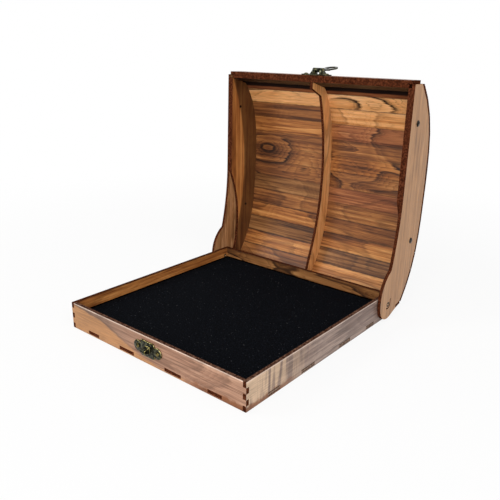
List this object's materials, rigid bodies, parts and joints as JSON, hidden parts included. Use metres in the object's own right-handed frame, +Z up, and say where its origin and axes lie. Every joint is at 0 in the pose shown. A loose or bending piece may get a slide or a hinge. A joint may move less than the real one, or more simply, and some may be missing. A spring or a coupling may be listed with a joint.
{
  "type": "hinged presentation box",
  "caption": "Shallow wooden presentation box with a finger-jointed tray, a foam pad, a bow-topped slatted lid on pin hinges and a bronze hasp that drops over a catch.",
  "frame": {"origin": "centre of the bottom of the overall box, lid open, on the surface that the box stands on", "axes": "+Z up, +Y towards the hinges at the back, +X to the right seen from the latch side"},
  "size_m": [0.2096, 0.26, 0.2201],
  "materials": {
    "panel_wood": "satin walnut board, burnt cut edges",
    "slat_wood": "satin walnut slats of mixed tone",
    "foam": "matt black open-cell foam",
    "bronze": "antique bronze, worn bright on edges",
    "pin_wood": "turned wooden dowel",
    "screw_steel": "darkened steel"
  },
  "bodies": {
    "tray": {"base_front_panel": "panel_wood", "base_back_panel": "panel_wood", "base_left_panel": "panel_wood", "base_right_panel": "panel_wood", "base_bottom_panel": "panel_wood", "foam_pad": "foam", "hinge_pin_left": "pin_wood", "hinge_pin_right": "pin_wood", "catch_plate": "bronze", "catch_screws": "bronze"},
    "lid": {"lid_left_outer_panel": "panel_wood", "lid_right_outer_panel": "panel_wood", "lid_left_inner_panel": "panel_wood", "lid_right_inner_panel": "panel_wood", "lid_middle_rib": "panel_wood", "lid_front_panel": "panel_wood", "lid_front_liner": "panel_wood", "lid_slat_01": "slat_wood", "lid_slat_02": "slat_wood", "lid_slat_03": "slat_wood", "lid_slat_04": "slat_wood", "lid_slat_05": "slat_wood", "lid_slat_06": "slat_wood", "lid_slat_07": "slat_wood", "lid_slat_08": "slat_wood", "lid_slat_09": "slat_wood", "lid_slat_10": "slat_wood", "lid_slat_11": "slat_wood", "lid_slat_12": "slat_wood", "lid_slat_13": "slat_wood", "lid_slat_14": "slat_wood", "lid_side_screws": "screw_steel", "hasp_plate": "bronze", "hasp_screws": "bronze", "hasp_pin": "bronze"},
    "hasp": {"hasp_loop": "bronze"}
  },
  "joints": [
    {"name": "lid_hinge", "type": "hinge", "parent": "tray", "child": "lid", "pos_m": [0, 0.07432, 0.0154], "axis": [1, 0, 0], "range_deg": [-20, 91]},
    {"name": "hasp_hinge", "type": "hinge", "parent": "lid", "child": "hasp", "pos_m": [0, 0.09745, 0.21733], "axis": [1, 0, 0], "range_deg": [0, 180]}
  ]
}
